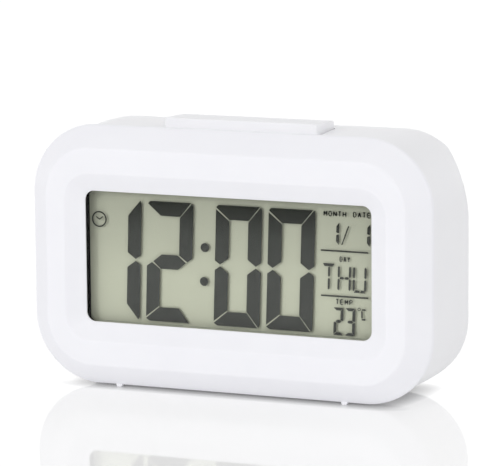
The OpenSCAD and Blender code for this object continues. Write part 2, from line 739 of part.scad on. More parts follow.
// Long white bar on the top that is pressed to snooze
module snooze_bar() {
    inner_top = bar_top - bar_wall - bar_fall / 2;
    tilt = atan2(bar_fall, bar_l);
    skirt_in = 0.3;
    edge = [for (i = [0:5]) let (a = 18 * i) [bar_round * (1 - sin(a)), bar_round * (1 - cos(a))]];
    color("#f6f6fa") in_case() {
        difference() {
            union() {
                // The cap leans back a little over its narrower skirt, so that its top falls towards the back
                translate([0, bar_mid, rear_top]) rotate([-tilt, 0, 0]) translate([0, 0, bar_proud - bar_fall / 2])
                    rotate([-90, 0, 0]) slab(bar_w, bar_l, 2, concat(edge, [[0, bar_proud + 1]]));
                translate([0, bar_mid, flange_bottom]) {
                    linear_extrude(rear_top - 0.5 - flange_bottom)
                        rounded(bar_w - 2 * skirt_in, bar_l - 2 * skirt_in, 2 - skirt_in);
                    linear_extrude(flange_t) rounded(bar_w + 2 * flange_edge, bar_l + 2 * flange_edge - 0.4, 2);
                }
            }
            block(-bar_w / 2 + bar_wall, bar_w / 2 - bar_wall,
                  bar_front + bar_wall, bar_front + bar_l - bar_wall, flange_bottom - slack, inner_top);
        }
        for (s = [-1, 1]) translate([s * pin_x, bar_mid, 0]) {
            translate([0, 0, flange_bottom]) cylinder(h = inner_top + 0.3 - flange_bottom, r = spring_r + 0.6);
            translate([0, 0, pin_end]) cylinder(h = inner_top - pin_end, r = pin_r);
        }
        block(-leg_w / 2, leg_w / 2, leg_d - leg_t / 2, leg_d + leg_t / 2, snooze_plunger_top, inner_top + 0.3);
    }
}

// Ring of points round a path point, in the plane of the normals u and v
function ring(c, u, v, r, sides) =
    [for (k = [0:sides - 1]) let (a = 360 * k / sides) c + r * (cos(a) * u + sin(a) * v)];

function unit(v) = v / norm(v);

// Direction of a path at point i
function along(path, i) = unit(path[min(i + 1, len(path) - 1)] - path[max(i - 1, 0)]);

// Tube swept along a path, with its rings turned from a fixed reference direction
module tube(path, r, sides, ref) {
    n = len(path);
    points = [for (i = [0:n - 1]) let (t = along(path, i), u = unit(cross(t, ref)), v = cross(t, u))
              each ring(path[i], u, v, r, sides)];
    walls = [for (i = [0:n - 2], k = [0:sides - 1]) let (a = i * sides + k, b = i * sides + (k + 1) % sides)
             each [[a, b, b + sides], [a, b + sides, a + sides]]];
    start = [for (k = [1:sides - 2]) [0, k + 1, k]];
    finish = [for (k = [1:sides - 2]) let (o = (n - 1) * sides) [o, o + k, o + k + 1]];
    polyhedron(points = points, faces = concat(walls, start, finish));
}

// Height of a coil after t turns: closed end turns, open turns between them
function coil_rise(t, turns, height, wire) =
    let (shut = wire * 1.15, open = (height - wire - 2 * shut) / (turns - 2))
    wire / 2 + (t < 1 ? shut * t : t > turns - 1 ? shut + open * (turns - 2) + shut * (t - turns + 1)
                                               : shut + open * (t - 1));

// Path of a coil spring whose radius changes evenly from r0 to r1
function coil_path(r0, r1, turns, height, wire) =
    [for (i = [0:8 * turns]) let (t = i / 8, r = r0 + (r1 - r0) * t / turns)
     [r * cos(360 * t), r * sin(360 * t), coil_rise(t, turns, height, wire)]];

// Least gap of a coil's wire to its next turn over the open turns, measured on the path's points
function coil_gap(path, wire) =
    min([for (i = [8:len(path) - 17]) norm(path[i + 8] - path[i])]) - wire;

// Two return springs round the guide pins, between carrier and bar
module snooze_springs() {
    path = coil_path(spring_r - spring_wire / 2, spring_r - spring_wire / 2, spring_turns,
                     flange_bottom - carrier_top, spring_wire);
    echo(snooze_spring_gap = coil_gap(path, spring_wire));
    color("#b9bcc0") in_case() for (s = [-1, 1]) translate([s * pin_x, bar_mid, carrier_top])
        tube(path, spring_wire / 2, 6, [0, 0, 1]);
}

// Plate under the bar that carries the springs and guides the pins
module snooze_carrier() {
    color("#e4e4e6") in_case() difference() {
        translate([0, bar_mid, carrier_top - carrier_t]) linear_extrude(carrier_t)
            rounded(2 * carrier_x, carrier_l, 2);
        for (s = [-1, 1]) {
            translate([s * pin_x, bar_mid, carrier_top - carrier_t - slack])
                cylinder(h = carrier_t + 2 * slack, r = pin_r + 0.3);
            translate([s * column_x, bar_mid, carrier_top - carrier_t - slack])
                cylinder(h = carrier_t + 2 * slack, r = screw_r + 0.2);
        }
        block(-leg_w / 2 - 0.4, leg_w / 2 + 0.4, leg_d - leg_t / 2 - 3, leg_d + leg_t / 2 + 0.4,
              carrier_top - carrier_t - slack, carrier_top + slack);
    }
}

// Switch on the main board that the bar presses from above
module snooze_switch() {
    half = 3;
    color("#2b2b2e") in_case() difference() {
        block(-half, half, board_back, leg_d + plunger_r + 1,
              snooze_switch_top - snooze_switch_h, snooze_switch_top);
        translate([0, leg_d, snooze_switch_top - bar_travel - 1.4])
            cylinder(h = snooze_switch_h, r = plunger_r + plunger_gap);
    }
}

// Plunger of the snooze switch, under the bar's leg
module snooze_plunger() {
    color("#d8d3c4") in_case() translate([0, leg_d, snooze_switch_top - 1.2])
        cylinder(h = snooze_plunger_top - snooze_switch_top + 1.2, r = plunger_r);
}

// Narrow board behind the keys
module key_board() {
    color("#2f6b45") in_case() difference() {
        translate([0, 0, key_z]) plate(key_board_w, key_board_h, 1.5, key_board_d, key_board_back);
        for (s = [-1, 1]) rod(s * key_post_x, key_z, key_board_d - slack, key_board_back + slack, screw_r + 0.2);
    }
}

// Four push switches on the key board
module key_switches() {
    half = key_switch_w / 2;
    color("#2b2b2e") in_case() for (i = [0:key_names - 1]) translate([key_x0 + i * key_pitch, 0, key_z])
        difference() {
            block(-half, half, key_board_back, key_board_back + key_switch_h, -half, half);
            rod(0, 0, key_stem_end - key_plunger_l - key_travel - 0.1, key_stem_end, plunger_r + plunger_gap);
        }
}

// One setting key with its flange and stem
module key(i) {
    color("#e9e9eb") in_case() translate([key_x0 + i * key_pitch, 0, key_z]) {
        plate(key_w, key_h, 1.2, key_flange_d, key_face - 0.4);
        plate(key_w - 0.8, key_h - 0.8, 0.8, key_face - 0.4, key_face);
        plate(key_w + 2 * key_flange_edge, key_h + 2 * key_flange_edge, 1, key_flange_d, key_flange_d + key_flange_t);
        rod(0, 0, key_stem_end, key_flange_d + 0.2, plunger_r);
    }
}

// Plunger of the switch under key i
module key_plunger(i) {
    color("#d8d3c4") in_case()
        rod(key_x0 + i * key_pitch, key_z, key_stem_end - key_plunger_l, key_stem_end, plunger_r);
}

module mode_key() { key(0); }
module set_key() { key(1); }
module up_key() { key(2); }
module down_key() { key(3); }
module mode_plunger() { key_plunger(0); }
module set_plunger() { key_plunger(1); }
module up_plunger() { key_plunger(2); }
module down_plunger() { key_plunger(3); }

// Body of the slide switch that arms the alarm
module alarm_switch_body() {
    mid = switch_x + switch_travel / 2;
    color("#3a3b3f") in_case() difference() {
        block(mid - 5, mid + 5, key_board_back, key_board_back + key_switch_h, key_z - 2.4, key_z + 2.4);
        block(switch_x - 0.9, switch_x + switch_travel + 0.9,
              key_board_back + 1.2, key_board_back + key_switch_h + slack, key_z - 1.1, key_z + 1.1);
    }
}

// Sliding knob of the alarm switch, with the flange that covers its slot
module alarm_switch_knob() {
    color("#dcdce0") in_case() translate([switch_x, 0, key_z]) {
        block(-knob_w / 2, knob_w / 2, key_flange_d, key_face - 0.3, -knob_h / 2, knob_h / 2);
        for (i = [-1:1]) block(i * 1.2 - 0.3, i * 1.2 + 0.3, key_face - 0.4, key_face, -knob_h / 2, knob_h / 2);
        block(-knob_flange_w / 2, knob_flange_w / 2, key_flange_d, key_flange_d + key_flange_t,
              -knob_flange_h / 2, knob_flange_h / 2);
        block(-0.7, 0.7, key_board_back + 1.5, key_flange_d + 0.2, -0.9, 0.9);
    }
}

// Flat cable between the two boards, bent in an S
module board_ribbon() {
    ribbon_w = 12;
    half = 0.15;
    z0 = 11;
    z1 = key_z - 2;
    span = key_board_d - board_back;
    n = 16;
    function bend(t) = t < 0.15 ? z0 : t > 0.85 ? z1 : z0 + (z1 - z0) * (1 - cos(180 * (t - 0.15) / 0.7)) / 2;
    middle = [for (i = [0:n]) [board_back + span * i / n, bend(i / n)]];
    color("#8a8c90") in_case() translate([14, 0, 0]) rotate([90, 0, 90]) linear_extrude(ribbon_w)
        polygon(concat([for (p = middle) [p[0], p[1] + half]],
                       [for (i = [n:-1:0]) [middle[i][0], middle[i][1] - half]]));
}

// Brass disc of the sounder, on its ring behind the sound holes
module sounder_disc() {
    color("#c9a95a") in_case()
        rod(sounder_x, sounder_z, back_in - ring_h - sounder_t, back_in - ring_h, sounder_r);
}

// Ceramic layer of the sounder
module sounder_ceramic() {
    front = back_in - ring_h - sounder_t;
    color("#e7e3d6") in_case() rod(sounder_x, sounder_z, front - ceramic_t, front, ceramic_r);
}

// Lead between two points of the depth frame: it leaves and arrives straight along the depth
function lead(a, b) =
    let (stub = 0.5, run = b[1] - a[1] - 2 * stub)
    concat([a], [for (i = [0:12]) let (t = i / 12, k = t * t * (3 - 2 * t))
                 [a[0] + (b[0] - a[0]) * k, a[1] + stub + run * t, a[2] + (b[2] - a[2]) * k]], [b]);

// Two thin leads from the main board to the sounder
module sounder_leads() {
    front = back_in - ring_h - sounder_t;
    color("#b03030") in_case() {
        for (p = [[-8, -4, ceramic_t], [-4, ceramic_r + 2, 0]])
            tube(lead([sounder_x + p[0], board_back, sounder_z - ceramic_r],
                      [sounder_x + p[1], front - p[2], sounder_z]), 0.5, 6, [0, 0, 1]);
    }
}

// One cell lying along x, its button towards +x
module cell() {
    button = 1;
    body = cell_l - button;
    rotate([0, 90, 0]) translate([0, 0, -cell_l / 2]) {
        cylinder(h = body, r = cell_r);
        translate([0, 0, body]) cylinder(h = button, r = 1.9);
    }
}

// Sign of the end that a cell's button points to: the middle cell is turned round
function button_side(i) = i == 0 ? -1 : 1;

// Three bare cells in the bay
module battery_cells() {
    color("#8f9296") in_case() for (i = [-1:1])
        translate([button_side(i) * (bay_l / 2 - plate_t - cell_l / 2), cell_mid, i * cell_pitch - lid_drop])
        rotate([0, 0, button_side(i) > 0 ? 0 : 180]) cell();
}

// Contact plates at both ends of the bay: two single and two that join a pair of cells
module battery_plates() {
    half = plate_h / 2;
    color("#c9ccd0") in_case() for (s = [-1, 1]) {
        x0 = s > 0 ? plate_x - plate_t : -plate_x;
        single = -lid_drop + s * cell_pitch;
        pair = -lid_drop - s * cell_pitch / 2;
        block(x0, x0 + plate_t, cell_mid - half, cell_mid + half, single - half, single + half);
        block(x0, x0 + plate_t, cell_mid - half, cell_mid + half,
              pair - half - cell_pitch / 2, pair + half + cell_pitch / 2);
        block(x0, x0 + plate_t, tail_end, cell_mid - half + 0.5, single - tail_w / 2, single + tail_w / 2);
    }
}

// Coned springs that press the flat ends of the cells
module battery_springs() {
    length = bay_l - 2 * plate_t - cell_l;
    path = coil_path(3.6, 2.2, 4, length, 0.5);
    echo(battery_spring_gap = coil_gap(path, 0.5));
    color("#b9bcc0") in_case() for (i = [-1:1])
        translate([-button_side(i) * (bay_l / 2 - plate_t), cell_mid, i * cell_pitch - lid_drop])
        rotate([0, button_side(i) * 90, 0]) tube(path, 0.25, 6, [0, 0, 1]);
}

// Leads from the two end contacts to the main board
module battery_leads() {
    color("#b03030") in_case() for (s = [-1, 1])
        tube(lead([s * 33, board_back, s * 4 - 6],
                  [s * (plate_x - plate_t / 2), tail_end, -lid_drop + s * cell_pitch]), 0.7, 8, [0, 0, 1]);
}

// Lid of the battery bay: it turns about its round lower edge, held by two tabs
module battery_lid() {
    pin_z = lid_z0 + lid_pin_r;
    color("#eeeeef") in_case() {
        difference() {
            union() {
                translate([0, 0, -lid_drop + 1]) plate(lid_w, lid_h - 2, 1.6, lid_in, case_d);
                block(-lid_w / 2, lid_w / 2, lid_in, case_d, pin_z, pin_z + 4);
                translate([0, case_d - lid_pin_r, pin_z]) rotate([0, 90, 0])
                    cylinder(h = lid_w, r = lid_pin_r, center = true);
            }
            // Slits and scoop that make the sprung latch tongue
            for (s = [-1, 1]) block(s * tongue_half - 0.4, s * tongue_half + 0.4, lid_in - slack, case_d + slack,
                                    lid_z1 - 9, lid_z1 + slack);
            block(-tongue_half - slack, tongue_half + slack, case_d - 0.9, case_d + slack, lid_z1 - 5, lid_z1 + slack);
        }
        for (i = [0:2]) block(-tongue_half + 1, tongue_half - 1, case_d - 1, case_d - 0.2,
                              lid_z1 - 1.4 - 1.4 * i, lid_z1 - 0.8 - 1.4 * i);
        for (s = [-1, 1]) {
            block(s * tab_x - tab_w / 2, s * tab_x + tab_w / 2, back_in - 0.2 - tab_t, back_in - 0.2,
                  lid_z0 - 1.6, lid_z0 + 3);
            block(s * tab_x - tab_w / 2, s * tab_x + tab_w / 2, back_in - 0.2 - tab_t, lid_in + 0.2,
                  lid_z0 + 0.6, lid_z0 + 3);
        }
    }
}

// Pan-head screw whose head sits at the origin and whose thread runs along +z
module screw(length) {
    cylinder(h = length, r = screw_r);
    translate([0, 0, -head_h]) cylinder(h = head_h, r = head_r);
}

// Four screws that hold the case halves together
module case_screws() {
    color("#9a9da1") in_case() four(screw_x, screw_z) translate([0, seat_d + 4, 0]) rotate([90, 0, 0]) screw(10);
}

// Eight equal screws: four in the main board, two in the key board, two in the snooze carrier
module inner_screws() {
    color("#9a9da1") in_case() {
        four(post_x, post_z) translate([0, board_back, 0]) rotate([90, 0, 0]) screw(7);
        for (s = [-1, 1]) {
            translate([s * key_post_x, key_board_d, key_z]) rotate([-90, 0, 0]) screw(7);
            translate([s * column_x, bar_mid, carrier_top - carrier_t]) screw(7);
        }
    }
}

front_bezel();
rear_housing();
window_lens();
window_gasket();
display_front_glass();
display_segments();
display_rear_glass();
display_reflector();
backlight_guide();
backlight_leds();
display_holder();
contact_strip();
main_board();
chip_cover();
clock_crystal();
board_components();
temperature_sensor();
snooze_bar();
snooze_springs();
snooze_carrier();
snooze_switch();
snooze_plunger();
key_board();
key_switches();
mode_key();
set_key();
up_key();
down_key();
mode_plunger();
set_plunger();
up_plunger();
down_plunger();
alarm_switch_body();
alarm_switch_knob();
board_ribbon();
sounder_disc();
sounder_ceramic();
sounder_leads();
battery_cells();
battery_plates();
battery_springs();
battery_leads();
battery_lid();
case_screws();
inner_screws();
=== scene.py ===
"""Digital alarm clock: finishes, smooth case surfaces, display legends, camera and studio light."""

import math

import bpy
import numpy as np
from mathutils import Matrix, Vector


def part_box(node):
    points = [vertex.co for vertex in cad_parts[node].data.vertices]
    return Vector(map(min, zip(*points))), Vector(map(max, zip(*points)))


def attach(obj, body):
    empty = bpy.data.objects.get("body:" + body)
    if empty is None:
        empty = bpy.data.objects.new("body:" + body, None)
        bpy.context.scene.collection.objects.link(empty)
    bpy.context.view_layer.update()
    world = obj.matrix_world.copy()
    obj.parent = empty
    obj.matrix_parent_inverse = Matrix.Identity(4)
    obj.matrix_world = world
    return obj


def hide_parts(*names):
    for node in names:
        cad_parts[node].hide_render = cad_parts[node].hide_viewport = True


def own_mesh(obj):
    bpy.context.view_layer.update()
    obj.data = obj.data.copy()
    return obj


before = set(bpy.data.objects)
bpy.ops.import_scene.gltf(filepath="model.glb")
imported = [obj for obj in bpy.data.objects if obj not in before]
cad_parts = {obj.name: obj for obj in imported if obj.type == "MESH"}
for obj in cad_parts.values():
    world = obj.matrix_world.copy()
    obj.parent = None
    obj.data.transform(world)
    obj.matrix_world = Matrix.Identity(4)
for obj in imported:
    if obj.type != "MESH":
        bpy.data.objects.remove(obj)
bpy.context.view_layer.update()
MM = 0.001

# Sizes in millimetres: x runs to the right, y from the front to the back, z up from the table
bezel_low, bezel_high = (np.array(c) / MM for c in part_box("front_bezel"))
housing_low, housing_high = (np.array(c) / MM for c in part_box("rear_housing"))
bar_low, bar_high = (np.array(c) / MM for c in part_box("snooze_bar"))
segment_low, segment_high = (np.array(c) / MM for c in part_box("display_segments"))
front_y = bezel_low[1]
lens_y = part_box("window_lens")[0][1] / MM
seam_y = housing_low[1]

# The case's outline: its feet lift it by foot_rise, and corner is its corner radius
foot_rise, corner = 0.6, 21.9
case_top = bezel_high[2]
case_bottom = bezel_low[2] + foot_rise
middle_z = (case_top + case_bottom) / 2
half_w = bezel_high[0]
half_h = (case_top - case_bottom) / 2

# The window: half width, half height and corner radius, and its middle's drop below the case's
window, window_drop = (48.0, 20.8, 3.0), 0.2
window_z = middle_z - window_drop

# A Mix node for colours has several sockets of the same name, so they go by number: two in, one out
MIX_A, MIX_B, MIX_RESULT = 6, 7, 2


def linear(hex_colour):
    """sRGB hex, such as f4f4f8, as linear red, green, blue and full alpha."""
    parts = [int(hex_colour[i:i + 2], 16) / 255 for i in (0, 2, 4)]
    return [c / 12.92 if c <= 0.04045 else ((c + 0.055) / 1.055) ** 2.4 for c in parts] + [1.0]


def add(tree, kind, settings=(), **links):
    """Adds a node of that kind. Settings set attributes or input values, links join its inputs.

    An input goes by its name, with _ for a space in a link, or by its number, where i0 is the
    first one in a link."""
    made = tree.nodes.new(kind)
    for name, value in dict(settings).items():
        if isinstance(name, int) or name in made.inputs:
            made.inputs[name].default_value = value
        else:
            setattr(made, name, value)
    for name, output in links.items():
        by_number = name[0] == "i" and name[1:].isdigit()
        key = int(name[1:]) if by_number else name.replace("_", " ")
        tree.links.new(output, made.inputs[key])
    return made


def blank(name):
    """A material with an empty node tree."""
    material = bpy.data.materials.new(name)
    material.use_nodes = True
    material.node_tree.nodes.clear()
    return material, material.node_tree


def grained(name, colour, second, rough, grain, depth,
            metallic=0.0, coat=0.0, patch=12.0, ior=1.5):
    """A solid finish whose colour drifts between two tones over patches, with a fine grain.

    The grain shows as relief and as roughness, which varies by spread to both sides of rough.
    grain and patch are real sizes in millimetres, and so is depth, the relief's height."""
    material, tree = blank(name)
    spread = 0.06
    place = add(tree, "ShaderNodeTexCoord")
    fine = add(tree, "ShaderNodeTexNoise",
               {"Scale": 1 / (grain * MM), "Detail": 3.0, "Roughness": 0.55},
               Vector=place.outputs["Object"])
    wide = add(tree, "ShaderNodeTexNoise", {"Scale": 1 / (patch * MM), "Detail": 2.0},
               Vector=place.outputs["Object"])
    tone = add(tree, "ShaderNodeMix",
               {"data_type": "RGBA", MIX_A: linear(colour), MIX_B: linear(second)},
               i0=wide.outputs["Fac"])
    shine = add(tree, "ShaderNodeMapRange", {"To Min": rough - spread, "To Max": rough + spread},
                Value=fine.outputs["Fac"])
    relief = add(tree, "ShaderNodeBump", {"Strength": 0.6, "Distance": depth * MM},
                 Height=fine.outputs["Fac"])
    surface = add(tree, "ShaderNodeBsdfPrincipled",
                  {"Metallic": metallic, "IOR": ior, "Coat Weight": coat},
                  Base_Color=tone.outputs[MIX_RESULT], Roughness=shine.outputs["Result"],
                  Normal=relief.outputs["Normal"])
    add(tree, "ShaderNodeOutputMaterial", Surface=surface.outputs["BSDF"])
    return material


def clear(name, tint, rough, ior=1.49):
    """A clear sheet: light passes straight through, and Fresnel sets what its outer face mirrors.

    A faint smear, about 9 mm wide, makes the mirror image up to 1.8 times as rough."""
    material, tree = blank(name)
    smear_size, roughest = 9, 1.8
    place = add(tree, "ShaderNodeTexCoord")
    smear = add(tree, "ShaderNodeTexNoise", {"Scale": 1 / (smear_size * MM), "Detail": 2.0},
                Vector=place.outputs["Object"])
    haze = add(tree, "ShaderNodeMapRange", {"To Min": rough, "To Max": rough * roughest},
               Value=smear.outputs["Fac"])
    edge = add(tree, "ShaderNodeFresnel", {"IOR": ior})
    side = add(tree, "ShaderNodeNewGeometry")
    facing = add(tree, "ShaderNodeMath", {"operation": "SUBTRACT", 0: 1.0},
                 i1=side.outputs["Backfacing"])
    outer = add(tree, "ShaderNodeMath", {"operation": "MULTIPLY"},
                i0=edge.outputs["Fac"], i1=facing.outputs["Value"])
    through = add(tree, "ShaderNodeBsdfTransparent", {"Color": linear(tint)})
    mirror = add(tree, "ShaderNodeBsdfGlossy", {"Color": (1, 1, 1, 1)},
                 Roughness=haze.outputs["Result"])
    mixed = add(tree, "ShaderNodeMixShader", i0=outer.outputs["Value"],
                i1=through.outputs["BSDF"], i2=mirror.outputs["BSDF"])
    add(tree, "ShaderNodeOutputMaterial", Surface=mixed.outputs["Shader"])
    return material


def by_height(tree, place, stops):
    """A grey level that changes with height.

    Stops are pairs of a height above the window's middle, in millimetres, and the level there."""
    parts = add(tree, "ShaderNodeSeparateXYZ", Vector=place.outputs["Object"])
    low, high = stops[0][0], stops[-1][0]
    part = add(tree, "ShaderNodeMapRange",
               {"From Min": (window_z + low) * MM, "From Max": (window_z + high) * MM},
               Value=parts.outputs["Z"])
    ramp = add(tree, "ShaderNodeValToRGB", Fac=part.outputs["Result"])
    marks = ramp.color_ramp.elements
    while len(marks) < len(stops):
        marks.new(0.5)
    for mark, (z, level) in zip(marks, stops):
        mark.position = (z - low) / (high - low)
        mark.color = (level, level, level, 1)
    return ramp.outputs["Color"]


def segment_finish():
    """Switched liquid crystal: near black at the top, a little paler in the lower half.

    A very fine cloud, 2.5 mm wide, adds to the dark tone's share."""
    material, tree = blank("liquid_crystal_dark")
    cloud_size, cloud_share = 2.5, 0.12
    place = add(tree, "ShaderNodeTexCoord")
    fade = by_height(tree, place, [(-6, 0), (8, 0.25), (20, 1)])
    cloud = add(tree, "ShaderNodeTexNoise", {"Scale": 1 / (cloud_size * MM), "Detail": 2.0},
                Vector=place.outputs["Object"])
    both = add(tree, "ShaderNodeMath",
               {"operation": "MULTIPLY_ADD", "use_clamp": True, 1: cloud_share},
               i0=cloud.outputs["Fac"], i2=fade)
    tone = add(tree, "ShaderNodeMix",
               {"data_type": "RGBA", MIX_A: linear("555553"), MIX_B: linear("262823")},
               i0=both.outputs["Value"])
    surface = add(tree, "ShaderNodeBsdfPrincipled", {"Roughness": 0.6, "IOR": 1.1},
                  Base_Color=tone.outputs[MIX_RESULT])
    add(tree, "ShaderNodeOutputMaterial", Surface=surface.outputs["BSDF"])
    return material


def film_finish():
    """Reflecting polariser film: matt olive grey, a fine pearl grain, and painted shade at its top.

    Part of what it sends back leaves in a soft lobe round the mirror's direction, as such films
    do, which is its Metallic share. The pearl grain is drawn 0.25 mm wide so that it shows."""
    material, tree = blank("reflecting_polariser")
    pearl_size = 0.25
    place = add(tree, "ShaderNodeTexCoord")
    pearl = add(tree, "ShaderNodeTexNoise", {"Scale": 1 / (pearl_size * MM), "Detail": 3.0},
                Vector=place.outputs["Object"])
    tone = add(tree, "ShaderNodeMix",
               {"data_type": "RGBA", MIX_A: linear("c9c8b6"), MIX_B: linear("c5c4b2")},
               i0=pearl.outputs["Fac"])
    # Painted shade: the film darkens towards its top, as under the shade of the bezel's upper lip
    level = by_height(tree, place, [(-20, 1.0), (-6, 1.0), (0, 0.945), (4, 0.885), (8, 0.845),
                                    (12, 0.8), (15, 0.78), (20.8, 0.76)])
    shaded_tone = add(tree, "ShaderNodeMix", {"data_type": "RGBA", "blend_type": "MULTIPLY", 0: 1.0},
               i6=tone.outputs[MIX_RESULT], i7=level)
    surface = add(tree, "ShaderNodeBsdfPrincipled", {"Roughness": 0.5, "Metallic": 0.3},
                  Base_Color=shaded_tone.outputs[MIX_RESULT])
    add(tree, "ShaderNodeOutputMaterial", Surface=surface.outputs["BSDF"])
    return material


# Glossy ABS, injection moulded in a polished tool: soft highlights with a faint orange peel
case_abs = grained("glossy_moulded_abs", "f7f7fb", "f3f3f8", 0.42, 1.6, 0.004, ior=1.35)
# The bar is the same ABS in a brighter white, from a tool with a fine satin finish
bar_abs = grained("satin_white_abs", "fdfdff", "fafafd", 0.6, 1.2, 0.004, ior=1.15)
# ABS from a spark-eroded tool: an even grain, real grit 0.05 mm, drawn at 0.35 mm so that it shows
housing_abs = grained("spark_grained_abs", "f4f4f6", "f1f1f4", 0.46, 0.35, 0.012, ior=1.35)
# Cast acrylic sheet with a hard coat that cuts its mirroring to about 1 percent
lens_acrylic = clear("coated_cast_acrylic", "fdfefe", 0.03, ior=1.22)
# Soda-lime glass under a matt polariser, which mirrors only weakly and without a sharp image
display_glass = clear("polarised_glass", "fbfcfa", 0.06, ior=1.06)
# PVC foam tape, die cut, matt and fully black
foam = grained("black_foam_tape", "131312", "0c0c0b", 0.85, 0.4, 0.05, ior=1.05)
# Reflecting polariser film, laminated to the back of the cell, with painted shade at its top
film = film_finish()
# Black ink, screen printed on the glass outside the view, which also paints the shade under the
# gasket
shade_ink = grained("black_ink_painted_shade", "121212", "0d0d0d", 0.6, 0.2, 0.004, ior=1.2)
# Switched crystal between the glasses: the dark bars of the display
crystal = segment_finish()
# ABS mouldings inside the case: dull black, and the plain resin's warm white
holder_black = grained("black_moulded_abs", "161615", "10100f", 0.55, 0.5, 0.01, ior=1.3)
holder_white = grained("natural_moulded_abs", "e9e9e4", "e2e2dc", 0.5, 0.5, 0.01)
# Acrylic moulded as a light guide: clear, with a faint green edge
guide_acrylic = clear("moulded_acrylic", "eef5f4", 0.1)
# Epoxy cast over the lamps: yellowish and glossy
lamp_resin = grained("lamp_epoxy", "f4eec4", "ece3a8", 0.25, 0.3, 0.005, coat=0.3)
# Silicone in layers with and without carbon: a dull grey, its 0.1 mm stripes drawn at 0.4 mm
contact_rubber = grained("striped_silicone", "6a6c70", "4e5054", 0.7, 0.1, 0.01, patch=0.4)
# Glass laminate under a lacquer mask: green, with a thin gloss
board = grained("solder_masked_laminate", "2f7048", "286341", 0.35, 0.3, 0.01, coat=0.2, patch=4)
# Epoxy poured over the chip and the bead: black, with a wet gloss and slow waves
resin = grained("black_epoxy_potting", "101011", "0b0b0c", 0.25, 1.2, 0.03)
# Drawn steel can: bright, with fine marks of the draw
can = grained("drawn_steel_can", "c4c6ca", "b7b9bd", 0.3, 0.15, 0.004, metallic=1.0)
# Fired ceramic of the small components: brown and matt, uneven over 1.5 mm
ceramic = grained("brown_chip_ceramic", "a98552", "8f6f42", 0.45, 0.2, 0.01, patch=1.5)
# Spring steel, drawn: bright, with a grain of 0.1 mm
wire = grained("drawn_spring_steel", "b9bcc2", "a5a8ae", 0.28, 0.1, 0.003, metallic=1.0, patch=2)
# Moulded nylon of the switches: black and dull
switch_black = grained("black_moulded_nylon", "1c1c1f", "151517", 0.55, 0.4, 0.01)
# Moulded acetal of the plungers: cream and slightly waxy
plunger = grained("cream_moulded_acetal", "dcd6c6", "d3ccba", 0.4, 0.5, 0.005)
# ABS from a satin tool, for the keys and the knob: white with a soft sheen
key_abs = grained("satin_moulded_abs", "f1f1f4", "ececef", 0.4, 0.6, 0.006)
# PVC of the flat cable: grey, its tone changing across the 1.2 mm of a core
cable = grained("grey_flat_cable", "8d9095", "7d8085", 0.5, 0.3, 0.01, patch=1.2)
# Stamped brass sheet of the sounder: yellow and bright
brass = grained("stamped_brass_sheet", "d4b25e", "c6a24f", 0.3, 0.2, 0.004, metallic=1.0)
# Piezo ceramic under burnt-in silver: pale and matt
piezo = grained("silvered_piezo_ceramic", "e2dccb", "d6cfbb", 0.45, 0.3, 0.006)
# Drawn PVC sheath of the leads: red and slightly dull
sheath = grained("red_pvc_sheath", "b22a2a", "9c2222", 0.45, 0.4, 0.008)
# Shrunk film sleeve of the cells: plain grey with a gloss
cell_sleeve = grained("shrunk_grey_sleeve", "5c6066", "53575d", 0.35, 0.5, 0.006, coat=0.3)
# Steel strip, nickel plated: warm and bright
nickel = grained("nickel_plated_steel", "c9cacc", "bcbdbf", 0.25, 0.2, 0.004, metallic=1.0)
# Steel screws, zinc plated: bluish grey, clouded over 1.5 mm
zinc = grained("zinc_plated_steel", "a7aab0", "9699a0", 0.35, 0.15, 0.006, metallic=1.0, patch=1.5)

# Finishes of the nodes that stay: a piece made below brings its own
node_finishes = {
    "window_lens": lens_acrylic, "window_gasket": foam, "display_segments": crystal,
    "display_reflector": film, "backlight_guide": guide_acrylic, "backlight_leds": lamp_resin,
    "display_holder": holder_black, "contact_strip": contact_rubber, "main_board": board,
    "chip_cover": resin, "clock_crystal": can, "board_components": ceramic,
    "temperature_sensor": resin, "snooze_carrier": holder_white, "snooze_switch": switch_black,
    "snooze_plunger": plunger, "key_board": board, "key_switches": switch_black,
    "mode_plunger": plunger, "set_plunger": plunger, "up_plunger": plunger,
    "down_plunger": plunger, "alarm_switch_body": switch_black,
    "alarm_switch_knob": key_abs, "board_ribbon": cable, "sounder_disc": brass,
    "sounder_ceramic": piezo, "sounder_leads": sheath, "battery_cells": cell_sleeve,
    "battery_plates": nickel, "battery_springs": wire, "battery_leads": sheath,
    "case_screws": zinc, "inner_screws": zinc, "mode_key": key_abs, "set_key": key_abs,
    "up_key": key_abs, "down_key": key_abs,
}
for node, finish in node_finishes.items():
    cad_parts[node].data.materials.clear()
    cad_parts[node].data.materials.append(finish)


def place_piece(name, mesh, material, body, slot, *nodes):
    """Makes the mesh a piece that rides on a body and stands for the named nodes."""
    piece = bpy.data.objects.new(name, mesh)
    bpy.context.scene.collection.objects.link(piece)
    mesh.materials.append(material)
    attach(piece, body)
    if nodes:
        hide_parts(*nodes)
    return piece


def smooth(mesh, angle):
    """Shades a mesh smoothly, apart from edges that turn by more than the angle, in degrees."""
    mesh.shade_smooth()
    mesh.set_sharp_from_angle(angle=math.radians(angle))
    return mesh


